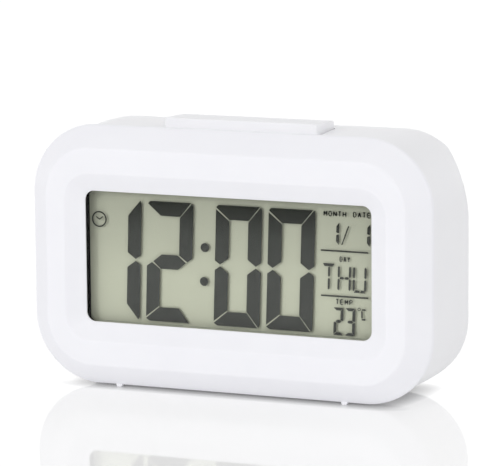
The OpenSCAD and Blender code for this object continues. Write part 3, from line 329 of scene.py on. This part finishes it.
def softened(corners, radii, steps):
    """A path through 2D corners whose inner corners are arcs of so many steps.

    An arc of radius r starts and ends r / tan(h) from its corner, where h is half the angle
    between the two sides, and its points lie at equal angles round the centre, which is
    r / sin(h) from the corner."""
    corners = np.array(corners, float)
    path = [corners[:1]]
    for before, here, after, r in zip(corners[:-2], corners[1:-1], corners[2:], radii):
        u = (before - here) / np.linalg.norm(before - here)
        v = (after - here) / np.linalg.norm(after - here)
        half = math.acos(float(np.clip(u @ v, -1, 1))) / 2
        centre = here + (u + v) / np.linalg.norm(u + v) * r / math.sin(half)
        start = here + u * r / math.tan(half) - centre
        finish = here + v * r / math.tan(half) - centre
        turn = math.atan2(start[0] * finish[1] - start[1] * finish[0], float(start @ finish))
        a = math.atan2(start[1], start[0]) + turn * np.linspace(0, 1, steps + 1)
        path.append(centre + r * np.stack([np.cos(a), np.sin(a)], axis=1))
    path.append(corners[-1:])
    return np.concatenate(path)


def rings(sections, arc_steps):
    """Rounded rectangles one after the other, each with the same number of points.

    A section is (half width, half height, corner radius, height, depth). Point i lies at the same
    angle of the same corner in every ring, at the corner's centre plus radius times (cos, sin)."""
    a, b, r, z, y = np.array(sections, float).T[:, :, None, None]
    angle = np.radians(90 * np.arange(4)[:, None] + np.linspace(0, 90, arc_steps + 1)[None])
    sx = np.array([1, -1, -1, 1])[:, None]
    sz = np.array([1, 1, -1, -1])[:, None]
    x = sx * (a - r) + r * np.cos(angle)
    h = z + sz * (b - r) + r * np.sin(angle)
    return np.stack([x, y + 0 * x, h], axis=-1).reshape(len(sections), -1, 3)


def lofted(name, grid, capped=True):
    """A closed mesh from a grid whose rows are rings, each joined to the next by four-sided faces.

    Capped, it has a single face over its first and its last ring. Otherwise its last ring joins
    its first, so that it closes round a hollow."""
    index = np.arange(grid.shape[0] * grid.shape[1]).reshape(grid.shape[:2])
    lower, upper = (index[:-1], index[1:]) if capped else (index, np.roll(index, -1, axis=0))
    quads = np.stack([lower, upper, np.roll(upper, -1, axis=1), np.roll(lower, -1, axis=1)],
                     axis=-1)
    faces = quads.reshape(-1, 4).tolist()
    if capped:
        faces += [index[0].tolist(), index[-1][::-1].tolist()]
    mesh = bpy.data.meshes.new(name)
    mesh.from_pydata(grid.reshape(-1, 3) * MM, [], faces)
    mesh.validate()
    return mesh


def prism(name, outlines, y0, y1):
    """Flat outlines of x and height points, each pulled from depth y0 to y1 into a closed slab."""
    points, faces, first = [], [], 0
    for outline in outlines:
        flat = np.array(outline, float)
        n = len(flat)
        points += [np.column_stack([flat[:, 0], np.full(n, y), flat[:, 1]]) for y in (y0, y1)]
        ring = first + np.arange(n)
        nxt = np.roll(ring, -1)
        faces += np.column_stack([ring, nxt, nxt + n, ring + n]).tolist()
        faces += [ring[::-1].tolist(), (ring + n).tolist()]
        first += 2 * n
    mesh = bpy.data.meshes.new(name)
    mesh.from_pydata(np.concatenate(points) * MM, [], faces)
    mesh.validate()
    return mesh


def merged_copy(name, node):
    """The node's own triangles as one welded mesh: points within a tenth of a micron become one."""
    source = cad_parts[node].data
    co = np.zeros(len(source.vertices) * 3)
    source.vertices.foreach_get("co", co)
    corners = np.zeros(len(source.loops), int)
    source.loops.foreach_get("vertex_index", corners)
    points, index = np.unique(np.round(co.reshape(-1, 3), 7), axis=0, return_inverse=True)
    faces = index.reshape(-1)[corners].reshape(-1, 3)
    first, second, third = faces.T
    whole = (first != second) & (second != third) & (third != first)
    mesh = bpy.data.meshes.new(name)
    mesh.from_pydata(points, [], faces[whole].tolist())
    mesh.validate()
    return mesh


def make_bezel():
    """Front bezel: one closed section carried round the case and, inside the crest, the window.

    The section runs from the lens seat up the slope, over the crest, down the bevel and the
    tongue, and back along the inner wall and the frame of the display stack. Each of its points is
    an inset from the case's outline or an outset from the window, with a depth behind the crest."""
    slope_w, slope_d, inner_flat = 5.8, 3.3, 2.6
    bevel_w, bevel_d, outer_flat = 6.9, 5.8, 2.2
    rim, tongue_out, tongue_in, tongue_long = 0.6, 3.45, 4.65, 2
    wall_d, crest_in, crest_d = 5.2, 9.25, 2
    frame_top, frame_out, frame_in, frame_front, frame_back = (7.4, 2.2), 4.45, 2.65, 4.2, 9.4
    seam, lens_d = seam_y - front_y, lens_y - front_y
    # The tongue follows the housing's outline, which is smaller than the bezel's by drop
    drop = half_h - (housing_high[2] - middle_z)
    inner = softened([(0, lens_d), (0, slope_d), (slope_w, 0), (slope_w + inner_flat, 0)],
                     [0.35, 1.5], 8)
    outer = softened([(bevel_w + outer_flat, 0), (bevel_w, 0), (0, bevel_d), (0, seam),
                      (rim, seam)], [1.6, 1.6, 0.25], 8)
    back = [(tongue_out, seam), (tongue_out, seam + tongue_long), (tongue_in, seam + tongue_long),
            (tongue_in, wall_d), (crest_in, crest_d)]
    frame_wall = [frame_top, (frame_out, frame_front), (frame_out, frame_back),
                  (frame_in, frame_back), (frame_in, lens_d)]
    a, b, r = window
    sections = [(a + u, b + u, r + u, window_z, front_y + d) for u, d in inner]
    sections += [(half_w - u, half_h - u, corner - u, middle_z, front_y + d) for u, d in outer]
    sections += [(half_w - u, half_h - drop - u, corner - drop - u, middle_z, front_y + d)
                 for u, d in back]
    sections += [(a + u, b + u, r + u, window_z, front_y + d) for u, d in frame_wall]
    mesh = smooth(lofted("bezel_shell", rings(sections, 32), capped=False), 30)
    place_piece("bezel_shell", mesh, case_abs, "housing", "white_case", "front_bezel")


def make_feet():
    """Small front feet: an upright bar under the bezel whose lower corners are round.

    Each level of a foot is a rectangle of a half width, at the foot's place along the case and
    between two depths behind the crest. Its top level lies inside the bezel."""
    foot_x, half_foot, depths, top, side_top, round_r = 38.1, 0.95, (5.5, 6.9), 1.4, 0.8, 0.5
    path = softened([(0.0, side_top), (0.0, 0.0), (half_foot, 0.0)], [round_r], 6)
    levels = [(half_foot, top)] + [(half_foot - u, z) for u, z in path[:-1]]
    for side, name in ((-1, "front_foot_left"), (1, "front_foot_right")):
        loops = [[(side * foot_x + sx * w, front_y + depths[k], z)
                  for sx, k in ((-1, 0), (1, 0), (1, 1), (-1, 1))] for w, z in levels]
        mesh = smooth(lofted(name, np.array(loops, float)), 40)
        place_piece(name, mesh, case_abs, "housing", "white_case")


def make_moulding(name, node, body):
    """A rear moulding: the node's own form, welded, with even shading on its long curves."""
    mesh = smooth(merged_copy(name, node), 28)
    piece = place_piece(name, mesh, housing_abs, body, "white_housing", node)
    even = piece.modifiers.new("even_shading", "WEIGHTED_NORMAL")
    even.keep_sharp = True


def make_bar():
    """Snooze bar: a closed section carried round its outline, with soft upper edges and a flange.

    The section is insets with heights. Points above the housing's top sink by the fall times how
    far back they lie times how far up they lie, so that the top slopes evenly towards the back
    and the skirt stays level. Rings stop just before the bar's middle line."""
    half_l, half_d, corner_r, proud, fall = 25.7, 7.5, 1.0, 3.0, 0.7
    flange_drop, flange_out, flange_thick = 3.7, 1.6, 1.5
    least_half, least_r = 0.05, 0.02
    mid_y = (bar_low[1] + bar_high[1]) / 2
    base = housing_high[2]
    flange_top = base - flange_drop
    outer = softened([(half_d, base + proud), (0, base + proud), (0, flange_top),
                      (-flange_out, flange_top), (-flange_out, flange_top - flange_thick),
                      (half_d, flange_top - flange_thick)], [0.45, 0.15, 0.2, 0.2], 8)
    levels = [(half_l - u, half_d - u, max(corner_r - u, least_r), mid_y, z)
              for u, z in outer if half_d - u > least_half]
    flat = rings(levels, 10)
    x, z, y = flat[..., 0], flat[..., 1], flat[..., 2]
    back = (y - mid_y) / (2 * half_d) + 0.5
    z = z - fall * back * np.clip((z - base) / proud, 0, 1)
    mesh = smooth(lofted("snooze_cap", np.stack([x, y, z], axis=-1)), 35)
    place_piece("snooze_cap", mesh, bar_abs, "snooze", "white_case", "snooze_bar")


def make_springs():
    """Return springs: both coils as one welded mesh, which rides on the housing."""
    mesh = smooth(merged_copy("return_springs", "snooze_springs"), 40)
    piece = place_piece("return_springs", mesh, wire, "housing", "spring_wire", "snooze_springs")
    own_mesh(piece)


def make_cell():
    """Display cell: the two bonded glasses as one sheet, with ground edges and a ledge below.

    The rings run from the front face over a ground edge to the joint, step out to the rear glass
    and end with a ground edge round the back face. Inside the view that face carries the
    reflecting film, and outside it black ink, which also paints the shade under the gasket.
    It stops a hair before the film's own sheet, so that the two never share a plane. A strip
    of film in front of the ledge hides the contacts."""
    front_lo, front_hi = (np.array(c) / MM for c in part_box("display_front_glass"))
    rear_lo, rear_hi = (np.array(c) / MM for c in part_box("display_rear_glass"))
    ground, hair, glass_r = 0.12, 0.02, 0.3
    view_w, view_h, view_r, view_drop = 48.3, 21.1, 0.6, 0.35
    strip_w, strip_low, strip_before = 48.2, 0.6, (0.12, 0.08)
    ledge_drop, glass_drop = 20.9, 21.6
    ledge_top = window_z - ledge_drop
    rear_lo[2] = window_z - glass_drop

    def ring(low, high, cut, y):
        """The glass's outline between two corners, inset by the cut, at depth y."""
        half = (high - low) / 2
        return (half[0] - cut, half[2] - cut, glass_r, (low[2] + high[2]) / 2, y)

    joint = (front_hi[1] + rear_lo[1]) / 2
    sections = [ring(front_lo, front_hi, ground, front_lo[1]),
                ring(front_lo, front_hi, 0, front_lo[1] + ground),
                ring(front_lo, front_hi, 0, joint), ring(rear_lo, rear_hi, 0, joint),
                ring(rear_lo, rear_hi, 0, rear_hi[1] - ground),
                ring(rear_lo, rear_hi, ground, rear_hi[1] - hair),
                (view_w, view_h, view_r, window_z - view_drop, rear_hi[1] - hair)]
    mesh = smooth(lofted("display_cell", rings(sections, 4)), 20)
    place_piece("display_cell", mesh, display_glass, "housing", "display_glass",
                "display_front_glass", "display_rear_glass")
    mesh.materials.append(film)
    mesh.materials.append(shade_ink)
    film_slot, shade_ink_slot, backwards, back_zone = 1, 2, 0.99, 0.1
    # Faces outside the view get black ink, which also paints the shade under the gasket
    for face in mesh.polygons:
        if face.normal.y > backwards and face.center.y > (rear_hi[1] - back_zone) * MM:
            face.material_index = film_slot if len(face.vertices) > 4 else shade_ink_slot
    strip_z = rear_lo[2] - strip_low
    strip = [[(-strip_w, strip_z), (strip_w, strip_z), (strip_w, ledge_top), (-strip_w, ledge_top)]]
    mesh = prism("ledge_film", strip, joint - strip_before[0], joint - strip_before[1])
    place_piece("ledge_film", mesh, film, "housing", "reflector_film")


def stroke(x0, z0, x1, z1, thick=0.66):
    """A straight display bar with pointed ends: a hexagon round the line between two points."""
    a, b = np.array([x0, z0]), np.array([x1, z1])
    along = (b - a) / np.linalg.norm(b - a)
    across = np.array([-along[1], along[0]]) * thick / 2
    tip = along * thick / 2
    return [a, a + tip - across, b - tip - across, b, b - tip + across, a + tip + across]


def word(text, x, z, width, cap_height):
    """A printed word of straight strokes: x and z are its lower left corner, in millimetres.

    Each letter's strokes join points of a unit box, which is scaled to a letter's width and the
    cap height."""
    bowl = [(0, 1, 0.6, 1), (0.6, 1, 1, 0.75), (1, 0.75, 1, 0.25), (1, 0.25, 0.6, 0),
            (0.6, 0, 0, 0)]
    letters = {
        "M": [(0, 0, 0, 1), (0, 1, 0.5, 0.3), (0.5, 0.3, 1, 1), (1, 1, 1, 0)],
        "O": bowl[1:4] + [(0.6, 1, 0.4, 1), (0.4, 1, 0, 0.75), (0, 0.75, 0, 0.25),
                          (0, 0.25, 0.4, 0), (0.4, 0, 0.6, 0)],
        "N": [(0, 0, 0, 1), (0, 1, 1, 0), (1, 0, 1, 1)],
        "T": [(0, 1, 1, 1), (0.5, 0, 0.5, 1)],
        "H": [(0, 0, 0, 1), (1, 0, 1, 1), (0, 0.5, 1, 0.5)],
        "D": bowl + [(0, 0, 0, 1)],
        "A": [(0, 0, 0.5, 1), (0.5, 1, 1, 0), (0.2, 0.35, 0.8, 0.35)],
        "E": [(0, 0, 0, 1), (0, 1, 0.9, 1), (0, 0.5, 0.8, 0.5), (0, 0, 0.9, 0)],
        "Y": [(0, 1, 0.5, 0.45), (1, 1, 0.5, 0.45), (0.5, 0.45, 0.5, 0)],
        "P": [(0, 0, 0, 1), (0, 1, 0.8, 1), (0.8, 1, 1, 0.85), (1, 0.85, 1, 0.6),
              (1, 0.6, 0.8, 0.45), (0.8, 0.45, 0, 0.45)],
    }
    thick, space = 0.36, 0.3
    step = (width + space) / len(text)
    wide, high = step - space - thick, cap_height - thick
    corner_x, corner_z = x + thick / 2, z + thick / 2
    return [stroke(corner_x + i * step + wide * x0, corner_z + high * z0,
                   corner_x + i * step + wide * x1, corner_z + high * z1, thick)
            for i, letter in enumerate(text) for x0, z0, x1, z1 in letters[letter]]


def make_legends():
    """What else the display shows: weekday, degree sign and field names, in the segments' plane.

    Places are millimetres to the right of and above the window's middle. Upright bars lean like
    the digits, lean millimetres to the right for each millimetre of height, and are broken at
    the middle by twice the gap. All start set_back behind the segments' front."""
    set_back = 0.02
    y0, y1 = segment_low[1] + set_back, segment_high[1]
    top, middle, bottom, lean, gap = 1.3, -2.4, -6.2, 0.033, 0.17
    cross, fine = 0.8, 0.48

    def upright(x):
        """Two bars, one over the other, that lean about the window's middle height."""
        return [stroke(x + lean * a, a, x + lean * b, b)
                for a, b in ((top, middle + gap), (middle - gap, bottom))]

    # First letter: its top bar, and its stem in two halves
    bars = [[(30.95, 1.95), (31.5, 1.03), (34.1, 1.03), (34.7, 1.95)],
            stroke(32.97, 0.95, 32.88, middle + gap), stroke(32.87, middle - gap, 32.74, bottom)]
    # Second letter: its left side, its cross bar in two halves, and its right side
    bars += upright(36.16) + [stroke(36.35, middle, 37.85, middle, cross),
                              stroke(37.95, middle, 39.5, middle, cross)]
    bars += upright(39.8)
    # Third letter: its two sides, and its foot in two halves
    bars += upright(41.15) + upright(44.88)
    bars += [[(41.0, -6.65), (41.5, -5.85), (42.6, -5.85), (42.9, -6.65)],
             [(43.1, -6.65), (43.4, -5.85), (44.3, -5.85), (44.8, -6.65)]]
    # The temperature's letter, and the degree sign as two half rings
    bars += [stroke(43.6, -11.86, 44.95, -11.86, fine), stroke(43.68, -12.15, 43.68, -14.6, fine),
             stroke(43.5, -14.88, 44.9, -14.88, fine)]
    degree_x, degree_z, outer_r, inner_r, split = 42.73, -11.75, 0.52, 0.27, 0.03
    for half in (0, math.pi):
        turn = half + np.linspace(split, math.pi - split, 12)
        arcs = [np.column_stack([degree_x + r * np.cos(t), degree_z + r * np.sin(t)])
                for r, t in ((outer_r, turn), (inner_r, turn[::-1]))]
        bars.append(np.concatenate(arcs).tolist())
    bars = [[(p[0], p[1] + window_z) for p in bar] for bar in bars]
    place_piece("weekday_bars", prism("weekday_bars", bars, y0, y1), crystal, "housing",
                "dark_segments")
    # Field names: text, place of the lower left corner, width and cap height
    fields = (("MONTH", 31.2, 16.45, 7.5, 1.85), ("DATE", 40.8, 16.55, 5.85, 1.85),
              ("DAY", 36.4, 2.52, 3.5, 1.9), ("TEMP", 35.0, -10.75, 5.7, 1.85))
    strokes = [bar for text, x, z, width, cap in fields
               for bar in word(text, x, z + window_z, width, cap)]
    place_piece("field_names", prism("field_names", strokes, y0, y1), crystal, "housing",
                "dark_segments")


def make_gap_light():
    """Painted light: pale lines of film colour in the gaps between segments of the big numerals.

    Each line fills the slanted gap between two segments. Its corners follow the segments' own
    bevels, in a box w wide and h high with strokes t wide and gaps g, whose foot is at base, and
    lean with the numeral. Height m is the middle, e, s and u are the bevels' insets,
    and fine is the share of the gap's width that shows."""
    w, h, t, g, base, lean = 15.45, 38.0, 4.5, 0.3, -19.92, math.tan(math.radians(1.9))
    m, e, s, u = h / 2, t * 0.17, t * 0.38, t * 0.52
    fine, set_back = 0.6, 0.01
    upper_right = [(w - e, h), (w - t + g / 2, h - t), (w - t, h - t - 1.5 * g),
                   (w - e + g, h - g / 3)]
    upper_left = [(0, h - e), (0, h - 1.8 * e), (t, h - t - 1.5 * g), (t, h - t)]
    lower_right = [(w - e, 0), (w - e + g, g / 3), (w - t, t + 1.5 * g), (w - t + g / 2, t)]
    lower_left = [(0, e), (t, t), (t, t + 1.5 * g), (0, 1.8 * e)]
    middle_right = [(w - s, m + g), (w - t, m + u), (w - t - 1.5 * g, m + t / 2),
                    (w - s - 1.5 * g, m)]
    middle_left = [(s, m - g), (s + 1.5 * g, m), (t + g, m - t / 2), (t, m - u)]
    two = [upper_right, middle_right, middle_left, lower_left]
    zero = [upper_right, upper_left, lower_right, lower_left]
    numerals = ((-28.3, two), (-5.15, zero), (12.5, zero))

    def slim(line):
        """The line at a share of its width: corners move towards their neighbour at one end."""
        p = np.array(line)
        short_first = np.linalg.norm(p[0] - p[1]) < np.linalg.norm(p[1] - p[2])
        for i, j in ((0, 1), (2, 3)) if short_first else ((0, 3), (1, 2)):
            centre = (p[i] + p[j]) / 2
            p[i], p[j] = centre + (p[i] - centre) * fine, centre + (p[j] - centre) * fine
        return p

    lines = [[(x + px + (pz - m) * lean, window_z + base + pz) for px, pz in slim(line)]
             for x, shape in numerals for line in shape]
    # Painted light: the strips keep the gaps pale, where the film behind lies in the segments'
    # shade
    mesh = prism("painted_gap_light", lines, segment_low[1] + set_back, segment_high[1])
    place_piece("painted_gap_light", mesh, film, "housing", "reflector_film")


def make_camera():
    """Camera at the photograph's place: 23 degrees right of the front, 9.4 degrees up, far away.

    It looks past a point on the crest, moved across and up in the picture's own directions."""
    azimuth, rise, roll = (math.radians(v) for v in (23.0, 9.374, -0.46))
    distance, across, lift, aim_height = 1052.57, 9.127, 10.118, 41.276
    focal_pixels, image_width, sensor_width = 3418.8, 503, 36
    back = Vector((math.sin(azimuth) * math.cos(rise), -math.cos(azimuth) * math.cos(rise),
                   math.sin(rise)))
    right = Vector((math.cos(azimuth), math.sin(azimuth), 0))
    up = back.cross(right)
    side = right * math.cos(roll) + up * math.sin(roll)
    top = up * math.cos(roll) - right * math.sin(roll)
    target = Vector((0, front_y, case_bottom + aim_height)) + side * across + top * lift
    place = (target + back * distance) * MM
    lens = bpy.data.cameras.new("camera")
    lens.sensor_fit = "HORIZONTAL"
    lens.sensor_width = sensor_width
    lens.lens = focal_pixels * sensor_width / image_width
    lens.clip_start, lens.clip_end = 0.05, 20
    camera = bpy.data.objects.new("camera", lens)
    bpy.context.scene.collection.objects.link(camera)
    turned = Matrix((side, top, back)).transposed().to_4x4()
    camera.matrix_world = Matrix.Translation(place) @ turned
    bpy.context.scene.camera = camera


def make_floor():
    """Wide white floor: it keeps the clock's shadow and mirrors it faintly.

    What the camera sees of it glows white in the open, with painted contact shade within a few
    millimetres of the clock, and what it sends back to the clock is weaker than that."""
    half, contact, mirror_share = 3.0, 0.005, 0.245
    mesh = bpy.data.meshes.new("floor")
    mesh.from_pydata([(-half, -half, 0), (half, -half, 0), (half, half, 0), (-half, half, 0)], [],
                     [(0, 1, 2, 3)])
    floor = bpy.data.objects.new("floor", mesh)
    bpy.context.scene.collection.objects.link(floor)
    material, tree = blank("polished_white_acrylic")
    place = add(tree, "ShaderNodeTexCoord")
    cloud = add(tree, "ShaderNodeTexNoise", {"Scale": 1 / (60 * MM)},
                Vector=place.outputs["Object"])
    polish = add(tree, "ShaderNodeMapRange", {"To Min": 0.02, "To Max": 0.05},
                 Value=cloud.outputs["Fac"])
    path = add(tree, "ShaderNodeLightPath")
    # Painted contact shade: occlusion within 5 mm of the clock dims both glows
    near = add(tree, "ShaderNodeAmbientOcclusion", {"samples": 16, "Distance": contact})
    shaded_glow = add(tree, "ShaderNodeMapRange", {"From Min": 0.12, "To Max": 0.58},
                    Value=near.outputs["AO"])
    shaded_bounce = add(tree, "ShaderNodeMapRange", {"To Min": 0.18, "To Max": 0.37},
                  Value=near.outputs["AO"])
    matt = add(tree, "ShaderNodeBsdfDiffuse", {"Color": linear("b7b7b7")})
    glow = add(tree, "ShaderNodeEmission", {"Color": (1, 1, 1, 1)},
               Strength=shaded_glow.outputs["Result"])
    dark = add(tree, "ShaderNodeEmission", {"Color": (1, 1, 1, 1)},
               Strength=shaded_bounce.outputs["Result"])
    seen = add(tree, "ShaderNodeMixShader", i0=path.outputs["Is Camera Ray"],
               i1=dark.outputs["Emission"], i2=glow.outputs["Emission"])
    ground = add(tree, "ShaderNodeAddShader", i0=matt.outputs["BSDF"], i1=seen.outputs["Shader"])
    mirror = add(tree, "ShaderNodeBsdfGlossy", {"Color": (1, 1, 1, 1)},
                 Roughness=polish.outputs["Result"])
    mixed = add(tree, "ShaderNodeMixShader", {"Fac": mirror_share},
                i1=ground.outputs["Shader"], i2=mirror.outputs["BSDF"])
    add(tree, "ShaderNodeOutputMaterial", Surface=mixed.outputs["Shader"])
    mesh.materials.append(material)


def distant(name, place, irradiance, spread):
    """A far lamp that shines from that place towards the clock's middle.

    The spread of its disc is in degrees, and the place gives only its direction."""
    clock_middle = Vector((0, 0, 0.04))
    light = bpy.data.lights.new(name, "SUN")
    light.energy = irradiance
    light.angle = math.radians(spread)
    lamp = bpy.data.objects.new(name, light)
    bpy.context.scene.collection.objects.link(lamp)
    lamp.location = place
    lamp.rotation_euler = (clock_middle - Vector(place)).to_track_quat("-Z", "Y").to_euler()


def make_light():
    """A plain white studio: an even world, a key from the left, a wide screen and two weak fills.

    The world has one level as light, a higher one in mirror images, and white in the view."""
    world = bpy.data.worlds.new("studio")
    bpy.context.scene.world = world
    world.use_nodes = True
    tree = world.node_tree
    tree.nodes.clear()
    path = add(tree, "ShaderNodeLightPath")
    even, mirrored, shown = (
        add(tree, "ShaderNodeBackground", {"Color": (1, 1, 1, 1), "Strength": level})
        for level in (0.583, 1.35, 1.0))
    first = add(tree, "ShaderNodeMixShader", i0=path.outputs["Is Glossy Ray"],
                i1=even.outputs["Background"], i2=mirrored.outputs["Background"])
    second = add(tree, "ShaderNodeMixShader", i0=path.outputs["Is Camera Ray"],
                 i1=first.outputs["Shader"], i2=shown.outputs["Background"])
    add(tree, "ShaderNodeOutputWorld", Surface=second.outputs["Shader"])
    distant("key", (-0.65, -1.0, 0.45), 0.6, 12)
    distant("wide", (0.6, -0.75, 0.3), 0.667, 80)
    distant("fill", (0.8, 0.5, 0.6), 0.155, 25)
    distant("top", (0.1, 0.4, 1.0), 0.2, 40)


make_camera()
make_floor()
make_light()
make_bezel()
make_feet()
make_moulding("housing_shell", "rear_housing", "housing")
make_moulding("lid_shell", "battery_lid", "lid")
make_bar()
make_springs()
make_cell()
make_legends()
make_gap_light()
bpy.context.scene.view_settings.view_transform = "Standard"
